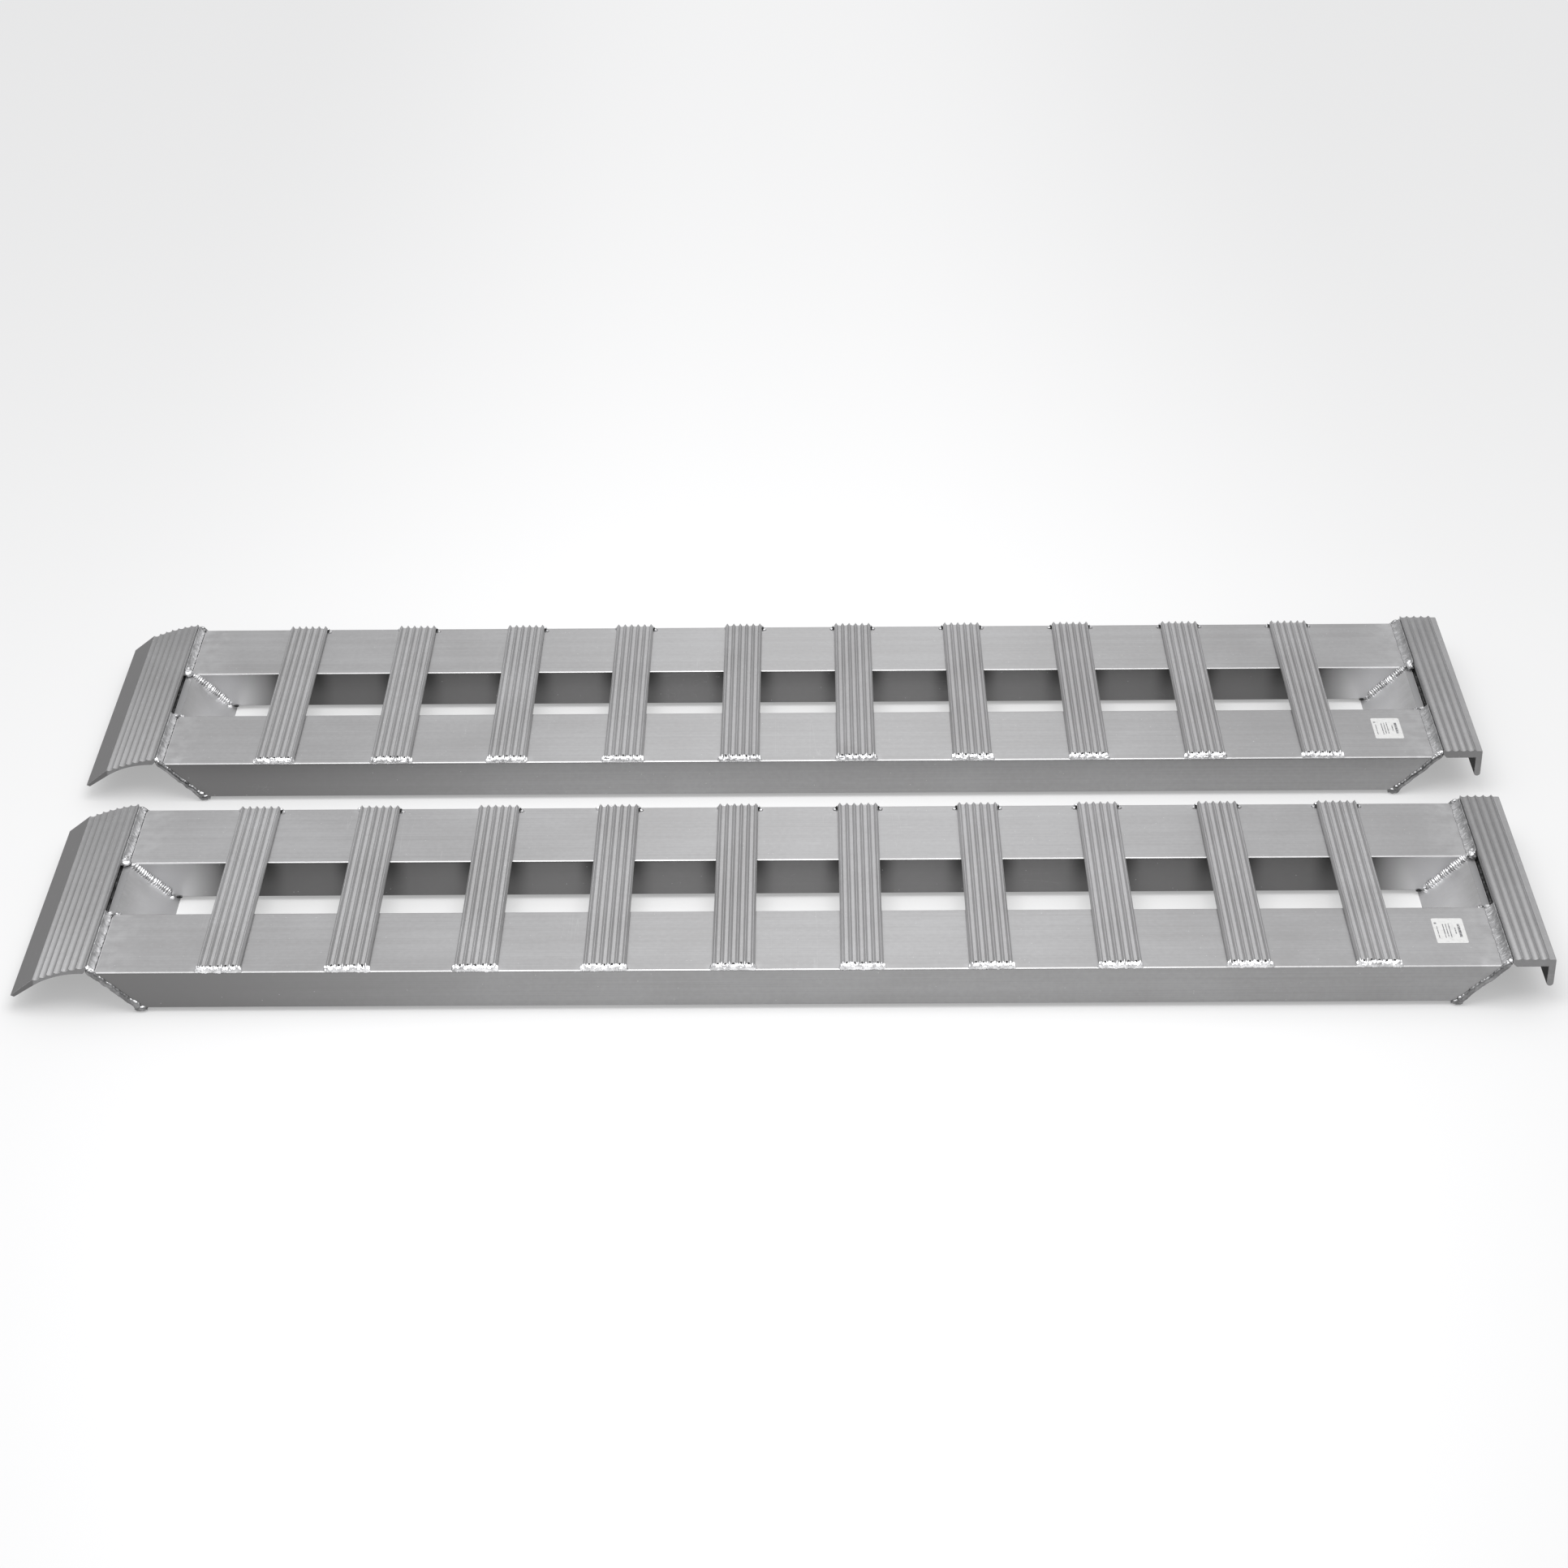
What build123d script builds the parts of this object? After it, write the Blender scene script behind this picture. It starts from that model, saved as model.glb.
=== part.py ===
from build123d import *
import math
import os

# A pair of rigid, all-welded aluminium loading ramps with hook ends.
# Each ramp is two box-tube rails joined by ten ribbed cross treads, with a curved
# ribbed foot at the ground end (-X), a ribbed hook lip at the deck end (+X) and a
# sloped plate closing the mitred rail ends under each of them.
# Frame: millimetres, +X from the ground end to the deck end, +Y to the left of a
# driver going up, +Z up. The origin is on the floor under the middle of the pair.

# ---- driving dimensions -------------------------------------------------------
overall_length = 1828.8
ramp_width = 368.3
ramp_spacing = 482.6  # centre to centre, as the pair lies at rest

rail_width = 127.0
rail_height = 50.8
rail_wall = 3.175
rail_outer_radius = 2.4
rail_inner_radius = 1.6
rail_top_length = 1664.0
mitre_angle = 45.0  # of the rail ends, from the horizontal

end_plate_thickness = 6.35
end_plate_drop = 5.5  # how far the plates stand below the rails
end_plate_inset = 3.0  # from each outer face of the ramp
end_plate_top_gap = 1.5  # below the rail's top face

tread_count = 10
tread_pitch = 152.4
tread_width = 50.8
tread_end_setback = 5.0
tread_base = 4.2
tread_height = 8.0
tread_rib_count = 6
tread_rib_pitch = 9.1
tread_rib_foot = 5.3
tread_rib_tip = 0.6

hook_reach = 61.2  # from the rail's top end to the flange's outer face
hook_inner_gap = 11.0  # from the rail's top end to the hook's inner face
hook_underside = -1.3  # this and the next heights are from the rail's top face
hook_peak = 11.7
hook_land = 8.8
hook_rib_count = 5
hook_rib_pitch = 9.9
hook_rib_depth = 3.1
hook_flange_thickness = 8.3
hook_flange_bottom = -28.8
hook_corner_radius = 1.2

foot_reach = 103.6  # from the rail's top end to the foot's tip
foot_inner_gap = 10.0  # from the rail's top end to the foot's back face
foot_back_land = 1.5
foot_peak = 9.3  # this and the next heights are from the rail's top face
foot_underside = -1.3
foot_tip_top = -31.5
foot_tip_bottom = -33.5
foot_tip_width = 4.4
foot_rib_count = 8
foot_crown_radius = 235.0
foot_first_slope = 24.0  # of the crown at the rib nearest the tip, in degrees
foot_last_slope = 8.0
foot_rib_depth = 2.6
foot_nose_length = 28.6  # straight part of the underside, measured from the tip
foot_nose_rise = 15.8
foot_heel_length = 8.6  # flat part of the underside at the back

weld_toe = 2.0  # how far a top weld runs out onto the rail
foot_weld_height = 8.0
hook_weld_height = 9.0
weld_bevel = 4.0  # ground off the lower inner edge of the hook and of the foot
root_weld_recess = 2.5  # how far the root weld lies below the edges it joins
root_weld_leg = 6.0
seam_weld_leg = 6.0

label_length = 37.5
label_width = 53.5
label_thickness = 0.2
label_corner_radius = 2.5
label_from_rail_end = 51.0
label_from_outer_face = 75.0

# ---- derived positions --------------------------------------------------------
rail_bottom_z = end_plate_drop
rail_top_z = rail_bottom_z + rail_height
rail_end_x = overall_length / 2 - hook_reach
rail_start_x = rail_end_x - rail_top_length
rail_middle_x = (rail_start_x + rail_end_x) / 2
rail_offset_y = (ramp_width - rail_width) / 2
mitre_run = 1 / math.tan(math.radians(mitre_angle))
plate_run = end_plate_thickness / math.sin(math.radians(mitre_angle))
rail_flat_width = rail_width - 2 * rail_outer_radius

DECK = 1
GROUND = -1


def end_x(end, reach):
    """X of a point that lies `reach` outwards from a rail's top end."""
    return rail_end_x + reach if end == DECK else rail_start_x - reach


def mitre_reach(z):
    """Outward reach of the mitred rail end at height z, negative below the top."""
    return (z - rail_top_z) * mitre_run


def side_plane(y_centre, width):
    """Plane facing -Y from which a side profile is extruded through its width."""
    return Plane.XZ.offset(-(y_centre + width / 2))


def save(piece, name):
    piece.part.label = name
    export_step(piece.part, f"parts/{name}.step")


# ---- pieces of one ramp -------------------------------------------------------
def make_rail(y_centre):
    """Box tube, mitred at both ends so that its top is longer than its bottom."""
    outward = math.sin(math.radians(mitre_angle))
    downward = -math.cos(math.radians(mitre_angle))
    with BuildPart() as rail:
        with BuildSketch(Plane.YZ.offset(rail_start_x)):
            with Locations((y_centre, rail_bottom_z + rail_height / 2)):
                RectangleRounded(rail_width, rail_height, rail_outer_radius)
                RectangleRounded(
                    rail_width - 2 * rail_wall,
                    rail_height - 2 * rail_wall,
                    rail_inner_radius,
                    mode=Mode.SUBTRACT,
                )
        extrude(amount=rail_top_length)
        for end in (GROUND, DECK):
            mitre = Plane(
                origin=(end_x(end, 0), y_centre, rail_top_z),
                x_dir=(0, 1, 0),
                z_dir=(end * outward, 0, downward),
            )
            split(bisect_by=mitre, keep=Keep.BOTTOM)
    return rail


def make_end_plate(y_centre, end):
    """Sloped plate on the mitred rail ends, cut flat where it rests on the floor."""
    plate_top_z = rail_top_z - end_plate_top_gap
    width = ramp_width - 2 * end_plate_inset
    with BuildPart() as plate:
        with BuildSketch(side_plane(y_centre, width)):
            with BuildLine():
                Polyline(
                    (end_x(end, mitre_reach(0)), 0),
                    (end_x(end, mitre_reach(0) + plate_run), 0),
                    (end_x(end, mitre_reach(plate_top_z) + plate_run), plate_top_z),
                    (end_x(end, mitre_reach(plate_top_z)), plate_top_z),
                    close=True,
                )
            make_face()
        extrude(amount=width)
    return plate


def make_tread(x_centre, y_centre):
    """Flat extrusion across both rails with six pointed anti-slip ribs."""
    half_width = tread_width / 2
    outline = [(-half_width, 0), (-half_width, tread_base)]
    first_rib = -(tread_rib_count - 1) / 2 * tread_rib_pitch
    for rib in range(tread_rib_count):
        middle = first_rib + rib * tread_rib_pitch
        if rib > 0:
            outline.append((middle - tread_rib_foot / 2, tread_base))
        outline.append((middle - tread_rib_tip / 2, tread_height))
        outline.append((middle + tread_rib_tip / 2, tread_height))
        if rib < tread_rib_count - 1:
            outline.append((middle + tread_rib_foot / 2, tread_base))
    outline += [(half_width, tread_base), (half_width, 0)]
    length = ramp_width - 2 * tread_end_setback
    with BuildPart() as tread:
        with BuildSketch(side_plane(y_centre, length)):
            with BuildLine():
                Polyline(*[(x_centre + x, rail_top_z + z) for x, z in outline], close=True)
            make_face()
        extrude(amount=length)
    return tread


def make_hook_lip(y_centre):
    """Ribbed plate that lies on the deck, with a flange that drops behind its edge."""
    flange_radius = hook_flange_thickness / 2
    outer = hook_reach
    inner = hook_reach - hook_flange_thickness
    peaks = [hook_inner_gap + rib * hook_rib_pitch for rib in range(hook_rib_count)]
    round_start = hook_flange_bottom + flange_radius

    def at(reach, height):
        return (end_x(DECK, reach), rail_top_z + height)

    with BuildPart() as hook:
        with BuildSketch(side_plane(y_centre, ramp_width)):
            with BuildLine():
                Polyline(
                    at(hook_inner_gap + weld_bevel, hook_underside),
                    at(hook_inner_gap, hook_underside + weld_bevel),
                    at(hook_inner_gap, hook_peak),
                )
                for left, right in zip(peaks, peaks[1:]):
                    valley = (left + right) / 2
                    ThreePointArc(
                        at(left, hook_peak),
                        at(valley, hook_peak - hook_rib_depth),
                        at(right, hook_peak),
                    )
                Polyline(
                    at(peaks[-1], hook_peak),
                    at(peaks[-1] + hook_peak - hook_land, hook_land),
                    at(outer - hook_corner_radius, hook_land),
                    at(outer, hook_land - hook_corner_radius),
                    at(outer, round_start),
                )
                ThreePointArc(
                    at(outer, round_start),
                    at(outer - flange_radius, hook_flange_bottom),
                    at(inner, round_start),
                )
                Polyline(
                    at(inner, round_start),
                    at(inner, hook_underside),
                    at(hook_inner_gap + weld_bevel, hook_underside),
                )
            make_face()
        extrude(amount=ramp_width)
    return hook


def make_ground_foot(y_centre):
    """Ribbed plate that curves down to a bevelled nose at the foot of the ramp."""
    last_reach = foot_inner_gap + foot_back_land
    last_slope = math.radians(foot_last_slope)
    step = math.radians(foot_first_slope - foot_last_slope) / (foot_rib_count - 1)

    def at(reach, height):
        return (end_x(GROUND, reach), rail_top_z + height)

    def crown(rib_from_back, depth=0.0):
        slope = last_slope + rib_from_back * step
        radius = foot_crown_radius - depth
        run = radius * math.sin(slope) - foot_crown_radius * math.sin(last_slope)
        rise = radius * math.cos(slope) - foot_crown_radius * math.cos(last_slope)
        return at(last_reach + run, foot_peak + rise)

    heel_reach = foot_inner_gap + foot_heel_length
    nose = at(foot_reach - foot_nose_length, foot_tip_bottom + foot_nose_rise)
    with BuildPart() as foot:
        with BuildSketch(side_plane(y_centre, ramp_width)):
            with BuildLine():
                Polyline(
                    at(heel_reach, foot_underside),
                    at(foot_inner_gap + weld_bevel, foot_underside),
                    at(foot_inner_gap, foot_underside + weld_bevel),
                    at(foot_inner_gap, foot_peak - foot_back_land),
                    crown(0),
                )
                for rib in range(foot_rib_count - 1):
                    ThreePointArc(crown(rib), crown(rib + 0.5, foot_rib_depth), crown(rib + 1))
                Polyline(
                    crown(foot_rib_count - 1),
                    at(foot_reach, foot_tip_top),
                    at(foot_reach - foot_tip_width, foot_tip_bottom),
                    nose,
                )
                TangentArc(at(heel_reach, foot_underside), nose, tangent=(-1, 0))
            make_face()
        extrude(amount=ramp_width)
    return foot


def make_end_welds(y_centre, end, inner_gap, weld_height, underside):
    """Fillets that join a foot or a hook to both rail tops and to the end plate."""
    bevel_top = underside + weld_bevel
    plate_top = -end_plate_top_gap
    root_top = plate_top - root_weld_recess
    root_bottom = root_top - root_weld_leg

    def at(reach, height):
        return (end_x(end, reach), rail_top_z + height)

    def on_plate(height):
        return at(mitre_reach(rail_top_z + height) + plate_run, height)

    with BuildPart() as welds:
        for side in (-1, 1):
            rail_y = y_centre + side * rail_offset_y
            with BuildSketch(side_plane(rail_y, rail_flat_width)):
                with BuildLine():
                    Polyline(
                        at(-weld_toe, 0),
                        at(inner_gap, weld_height),
                        at(inner_gap, bevel_top),
                        on_plate(plate_top),
                        at(mitre_reach(rail_top_z + plate_top), plate_top),
                        at(0, 0),
                        close=True,
                    )
                make_face()
            extrude(amount=rail_flat_width)
        root_width = ramp_width - 2 * end_plate_inset
        with BuildSketch(side_plane(y_centre, root_width)):
            with BuildLine():
                Polyline(
                    at(inner_gap + root_weld_recess, bevel_top - root_weld_recess),
                    at(inner_gap + weld_bevel, underside),
                    on_plate(root_bottom),
                    on_plate(root_top),
                    close=True,
                )
            make_face()
        extrude(amount=root_width)
    return welds


def make_seam_welds(y_centre):
    """Beads down every mitred seam: flush ones outside, fillets facing the gap."""
    top_z = rail_top_z - rail_outer_radius
    bottom_z = rail_bottom_z + rail_outer_radius
    seam_length = (top_z - bottom_z) / math.sin(math.radians(mitre_angle))
    along = math.cos(math.radians(mitre_angle))
    down = -math.sin(math.radians(mitre_angle))
    plate_top_z = rail_top_z - end_plate_top_gap
    with BuildPart() as welds:
        for end in (GROUND, DECK):
            for side in (-1, 1):
                outer_y = y_centre + side * (ramp_width - end_plate_inset) / 2
                with BuildSketch(side_plane(outer_y, end_plate_inset)):
                    with BuildLine():
                        Polyline(
                            (end_x(end, mitre_reach(rail_bottom_z)), rail_bottom_z),
                            (end_x(end, mitre_reach(rail_bottom_z) + plate_run), rail_bottom_z),
                            (end_x(end, mitre_reach(plate_top_z) + plate_run), plate_top_z),
                            (end_x(end, mitre_reach(plate_top_z)), plate_top_z),
                            close=True,
                        )
                    make_face()
                extrude(amount=end_plate_inset)
                gap_face_y = y_centre + side * (ramp_width / 2 - rail_width)
                seam = Plane(
                    origin=(end_x(end, mitre_reach(top_z)), gap_face_y, top_z),
                    x_dir=(0, -side, 0),
                    z_dir=(-end * along, 0, down),
                )
                inwards = end * side * seam_weld_leg
                with BuildSketch(seam):
                    with BuildLine():
                        Polyline((0, 0), (seam_weld_leg, 0), (0, inwards), close=True)
                    make_face()
                extrude(amount=seam_length)
    return welds


def make_tread_welds(y_centre, tread_positions):
    """One fillet across each end of every tread, down to the rail's top face."""
    leg = tread_end_setback - rail_outer_radius
    with BuildPart() as welds:
        for x_centre in tread_positions:
            for side in (-1, 1):
                tread_end_y = y_centre + side * (ramp_width / 2 - tread_end_setback)
                with BuildSketch(Plane.YZ.offset(x_centre - tread_width / 2)):
                    with BuildLine():
                        Polyline(
                            (tread_end_y, rail_top_z),
                            (tread_end_y + side * leg, rail_top_z),
                            (tread_end_y, rail_top_z + tread_base),
                            close=True,
                        )
                    make_face()
                extrude(amount=tread_width)
    return welds


def make_label(y_centre):
    """Blank rating label on the top of the right-hand rail, near the hook."""
    x_centre = end_x(DECK, -label_from_rail_end)
    label_y = y_centre - ramp_width / 2 + label_from_outer_face
    with BuildPart() as label:
        with BuildSketch(Plane.XY.offset(rail_top_z)):
            with Locations((x_centre, label_y)):
                RectangleRounded(label_length, label_width, label_corner_radius)
        extrude(amount=label_thickness)
    return label


# ---- the pair -----------------------------------------------------------------
def make_ramp(name, y_centre, rail_names):
    """Every piece of one ramp; rail_names are its -Y rail and its +Y rail."""
    first_tread_x = rail_middle_x - (tread_count - 1) / 2 * tread_pitch
    tread_positions = [first_tread_x + i * tread_pitch for i in range(tread_count)]
    save(make_rail(y_centre - rail_offset_y), f"{name}_{rail_names[0]}")
    save(make_rail(y_centre + rail_offset_y), f"{name}_{rail_names[1]}")
    for number, x_centre in enumerate(tread_positions, start=1):
        save(make_tread(x_centre, y_centre), f"{name}_tread_{number:02d}")
    save(make_ground_foot(y_centre), f"{name}_ground_foot")
    save(make_hook_lip(y_centre), f"{name}_hook_lip")
    save(make_end_plate(y_centre, GROUND), f"{name}_ground_end_plate")
    save(make_end_plate(y_centre, DECK), f"{name}_deck_end_plate")
    foot_welds = make_end_welds(y_centre, GROUND, foot_inner_gap, foot_weld_height, foot_underside)
    save(foot_welds, f"{name}_foot_welds")
    hook_welds = make_end_welds(y_centre, DECK, hook_inner_gap, hook_weld_height, hook_underside)
    save(hook_welds, f"{name}_hook_welds")
    save(make_seam_welds(y_centre), f"{name}_seam_welds")
    save(make_tread_welds(y_centre, tread_positions), f"{name}_tread_welds")
    save(make_label(y_centre), f"{name}_rating_label")


os.makedirs("parts", exist_ok=True)
make_ramp("left", ramp_spacing / 2, ("inner_rail", "outer_rail"))
make_ramp("right", -ramp_spacing / 2, ("outer_rail", "inner_rail"))
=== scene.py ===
import math
import random
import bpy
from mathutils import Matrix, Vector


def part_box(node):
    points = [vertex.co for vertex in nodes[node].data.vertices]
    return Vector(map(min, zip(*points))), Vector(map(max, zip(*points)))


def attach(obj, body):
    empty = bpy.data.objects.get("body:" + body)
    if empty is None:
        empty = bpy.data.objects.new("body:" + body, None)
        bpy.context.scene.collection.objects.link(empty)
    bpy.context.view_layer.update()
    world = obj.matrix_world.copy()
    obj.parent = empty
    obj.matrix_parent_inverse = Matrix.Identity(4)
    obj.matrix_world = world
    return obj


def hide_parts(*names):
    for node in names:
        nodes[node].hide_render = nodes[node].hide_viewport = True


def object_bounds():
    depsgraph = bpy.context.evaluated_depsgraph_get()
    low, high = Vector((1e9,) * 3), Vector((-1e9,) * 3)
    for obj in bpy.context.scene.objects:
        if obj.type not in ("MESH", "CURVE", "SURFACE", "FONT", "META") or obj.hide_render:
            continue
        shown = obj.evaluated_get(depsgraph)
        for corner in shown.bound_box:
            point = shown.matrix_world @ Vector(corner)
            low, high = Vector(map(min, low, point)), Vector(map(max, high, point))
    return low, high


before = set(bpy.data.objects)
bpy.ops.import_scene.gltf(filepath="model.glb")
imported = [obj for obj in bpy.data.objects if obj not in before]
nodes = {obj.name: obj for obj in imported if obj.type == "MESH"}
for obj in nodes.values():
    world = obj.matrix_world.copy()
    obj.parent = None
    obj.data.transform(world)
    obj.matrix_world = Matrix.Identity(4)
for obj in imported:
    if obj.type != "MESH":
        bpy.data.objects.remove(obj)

from types import SimpleNamespace

import bmesh
import bpy
from mathutils import Matrix, Vector, noise

# The looks of a pair of welded aluminium loading ramps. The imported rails, treads, end plates,
# feet and hooks get worked aluminium, and the welds and labels are replaced by detailed meshes.
# Metres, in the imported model's own frame: X runs along the ramps from their ground ends to
# their deck ends, and the two ramps stand symmetrically about Y = 0.

MM = 0.001
cad_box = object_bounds()

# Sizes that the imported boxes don't give.
RAIL_RADIUS = 2.4 * MM
TREAD_SETBACK = 5.0 * MM  # from a rail's outer face to a tread's end
TREAD_BASE = 4.2 * MM  # a tread's thickness in the valleys between its ribs
TREAD_RIBS = 6
TREAD_RIB_PITCH = 9.1 * MM
TREAD_RIB_FOOT = 5.3 * MM
TREAD_RIB_TIP = 0.6 * MM
NOSE_LENGTH = 29.2 * MM  # plain tip of the foot beyond its last rib
FLANGE_THICKNESS = 8.3 * MM  # of the hook's flange
PLATE_THICKNESS = 6.35 * MM
MITRE = math.radians(45)

# Directions: the ends along X, and the sides of a ramp along Y.
GROUND, DECK = -1, 1
NEAR, FAR = -1, 1


# ---- places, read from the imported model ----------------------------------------
def read_ramp(name):
    """The places of one ramp that its welds and its label are built on."""
    rails = [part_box(f"{name}_{side}_rail") for side in ("inner", "outer")]
    rails.sort(key=lambda box: box[0].y)
    treads = [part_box(n) for n in sorted(nodes) if n.startswith(f"{name}_tread_") and n[-1].isdigit()]
    near, far = rails
    return SimpleNamespace(
        name=name,
        body=f"{name}_ramp",
        rails={NEAR: near, FAR: far},
        treads=treads,
        centre_y=(near[0].y + far[1].y) / 2,
        top=near[1].z,
        bottom=near[0].z,
        ends={GROUND: near[0].x, DECK: near[1].x},
        label=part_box(f"{name}_rating_label"),
    )


ramps = [read_ramp("left"), read_ramp("right")]
first = ramps[0]
ground_x, deck_x = first.ends[GROUND], first.ends[DECK]
middle_x = (deck_x + ground_x) / 2
half_length = (deck_x - ground_x) / 2
half_ramp = first.rails[FAR][1].y - first.centre_y
rail_width = first.rails[NEAR][1].y - first.rails[NEAR][0].y
tread_height = first.treads[0][1].z - first.treads[0][0].z
tread_pitch = (first.treads[-1][0].x - first.treads[0][0].x) / (len(first.treads) - 1)
tread_middle_x = (first.treads[0][0].x + first.treads[0][1].x) / 2
nose_start_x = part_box("left_ground_foot")[0].x + NOSE_LENGTH
flange_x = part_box("left_hook_lip")[1].x - FLANGE_THICKNESS
plate_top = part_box("left_deck_end_plate")[1].z


# ---- shader helpers --------------------------------------------------------------
class Surface:
    """One material's node tree, with short ways to add and join nodes."""

    def __init__(self, name):
        self.material = bpy.data.materials.new(name)
        self.material.use_nodes = True
        self.tree = self.material.node_tree
        self.shader = self.tree.nodes["Principled BSDF"]
        self.place = self.add("TexCoord").outputs["Object"]

    def add(self, kind, **settings):
        """New shader node of that kind, with its settings."""
        node = self.tree.nodes.new("ShaderNode" + kind)
        for key, value in settings.items():
            setattr(node, key, value)
        return node

    def put(self, socket, value):
        """Links an output to the socket, or sets the socket's own value."""
        if isinstance(value, bpy.types.NodeSocket):
            self.tree.links.new(value, socket)
        else:
            socket.default_value = value

    def finish(self, **inputs):
        """Fills the shader's inputs, named with _ for each space, and returns the material."""
        for name, value in inputs.items():
            self.put(self.shader.inputs[name.replace("_", " ")], value)
        return self.material

    def maths(self, operation, a, b=0.0, c=0.0, clamp=False):
        """Result of a Math node, kept from 0 to 1 if clamp is set."""
        node = self.add("Math", operation=operation, use_clamp=clamp)
        for socket, value in zip(node.inputs, (a, b, c)):
            self.put(socket, value)
        return node.outputs[0]

    def times(self, first_value, *others):
        """Product of all the values."""
        product = first_value
        for value in others:
            product = self.maths("MULTIPLY", product, value)
        return product

    def blend(self, value, weight, rest):
        """value times weight, added to the rest."""
        return self.maths("MULTIPLY_ADD", value, weight, rest)

    def apart(self, a, b):
        """Distance between two values."""
        return self.maths("ABSOLUTE", self.maths("SUBTRACT", a, b))

    def stretched(self, scale, turn=(0, 0, 0)):
        """Object coordinates scaled along each axis and turned, in radians."""
        node = self.add("Mapping")
        self.put(node.inputs["Vector"], self.place)
        node.inputs["Scale"].default_value = scale
        node.inputs["Rotation"].default_value = turn
        return node.outputs[0]

    def grain(self, cells, detail=3.0, vector=None, distortion=0.0):
        """Noise from 0 to 1, with that many cells to the metre or to the vector's unit."""
        node = self.add("TexNoise")
        self.put(node.inputs["Vector"], vector or self.place)
        node.inputs["Scale"].default_value = cells
        node.inputs["Detail"].default_value = detail
        node.inputs["Distortion"].default_value = distortion
        return node.outputs["Fac"]

    def lines(self, cells, detail, turn=(0, 0, 0)):
        """Noise with its own number of cells to the metre along each axis."""
        return self.grain(1.0, detail, self.stretched(cells, turn))

    def between(self, value, start, stop, at_start=0.0, at_stop=1.0):
        """Smooth step from at_start to at_stop, as value goes from start to stop."""
        node = self.add("MapRange", interpolation_type="SMOOTHSTEP")
        for socket, setting in zip(node.inputs, (value, start, stop, at_start, at_stop)):
            self.put(socket, setting)
        return node.outputs[0]

    def mix(self, share, a, b):
        """Colour a where share is 0, and b where it is 1."""
        node = self.add("Mix", data_type="RGBA")
        colour_a, colour_b = node.inputs[6:8]
        self.put(node.inputs["Factor"], share)
        self.put(colour_a, a)
        self.put(colour_b, b)
        return node.outputs[2]

    def bump(self, height, distance, normal=None):
        """Normal tilted by a relief that is distance metres high, on top of another normal."""
        node = self.add("Bump")
        node.inputs["Distance"].default_value = distance
        self.put(node.inputs["Height"], height)
        if normal:
            self.put(node.inputs["Normal"], normal)
        return node.outputs[0]

    def axes(self):
        """X, Y and Z of the place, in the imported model's frame."""
        node = self.add("SeparateXYZ")
        self.put(node.inputs[0], self.place)
        return node.outputs

    def edges(self, radius, start, stop):
        """1 along worn outer and inner edges, 0 on flat metal."""
        bevel = self.add("Bevel", samples=4)
        bevel.inputs["Radius"].default_value = radius
        flat = self.add("NewGeometry").outputs["Normal"]
        dot = self.add("VectorMath", operation="DOT_PRODUCT")
        self.put(dot.inputs[0], bevel.outputs[0])
        self.put(dot.inputs[1], flat)
        return self.between(self.maths("SUBTRACT", 1.0, dot.outputs["Value"]), start, stop)


def grey(value, warmth=0.0):
    """A metal grey, a hair bluer than neutral where warmth is 0."""
    coolness = 1.01
    return (value * (1 + warmth), value, value * (1 - warmth) * coolness, 1.0)


def specks(s, cells, radius, share):
    """Small round marks in a share of the cells, their radius given in cells."""
    core = 0.6
    node = s.add("TexVoronoi")
    s.put(node.inputs["Vector"], s.place)
    node.inputs["Scale"].default_value = cells
    near = s.between(node.outputs["Distance"], radius, radius * core)
    pick = s.add("SeparateColor")
    s.put(pick.inputs[0], node.outputs["Color"])
    chosen = s.maths("LESS_THAN", pick.outputs[0], share)
    return s.times(near, chosen)


def scratches(s, cells, turn, width):
    """Long thin lines, in patches, where stretched noise crosses its middle."""
    core = 0.3
    patch_cells = 9.0
    off = s.apart(s.lines(cells, 1.0, turn), 0.5)
    line = s.between(off, width, width * core)
    patch = s.between(s.grain(patch_cells), 0.56, 0.66)
    return s.times(line, patch)


# ---- where oxide haze, painted shade and paler metal lie ---------------------------
def off_tread(s, x):
    """Distance along the ramp from the nearest tread's middle, in tread pitches."""
    cell = s.maths("DIVIDE", s.maths("SUBTRACT", x, tread_middle_x - tread_pitch / 2), tread_pitch)
    return s.apart(s.maths("FRACT", cell), 0.5)


def off_centre(s, y):
    """Distance across a ramp from its own middle, the same for both ramps."""
    return s.apart(s.maths("ABSOLUTE", y), first.centre_y)


def weld_haze(s):
    """Pale oxide haze on a rail beside the tread welds and the end welds."""
    across_reach = 22 * MM
    end_reach = 60 * MM
    full = 4 * MM  # so near to a weld the haze is at its full strength
    tread_strength = 0.7
    end_strength = 0.6
    x, y, z = s.axes()
    beside = s.between(off_tread(s, x), 0.25, 0.17)
    outside = s.between(off_centre(s, y), half_ramp - across_reach, half_ramp - full)
    upper = s.between(z, first.top - 2.0 * MM, first.top - 0.5 * MM)
    treads = s.times(beside, outside, upper)
    deck = s.between(x, deck_x - end_reach, deck_x - full)
    ground = s.between(x, ground_x + end_reach, ground_x + full)
    ends = s.times(s.maths("ADD", deck, ground), end_strength)
    haze = s.maths("ADD", s.times(treads, tread_strength), ends, clamp=True)
    return s.times(haze, s.between(s.grain(55.0, 4.0), 0.3, 0.7))


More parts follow.
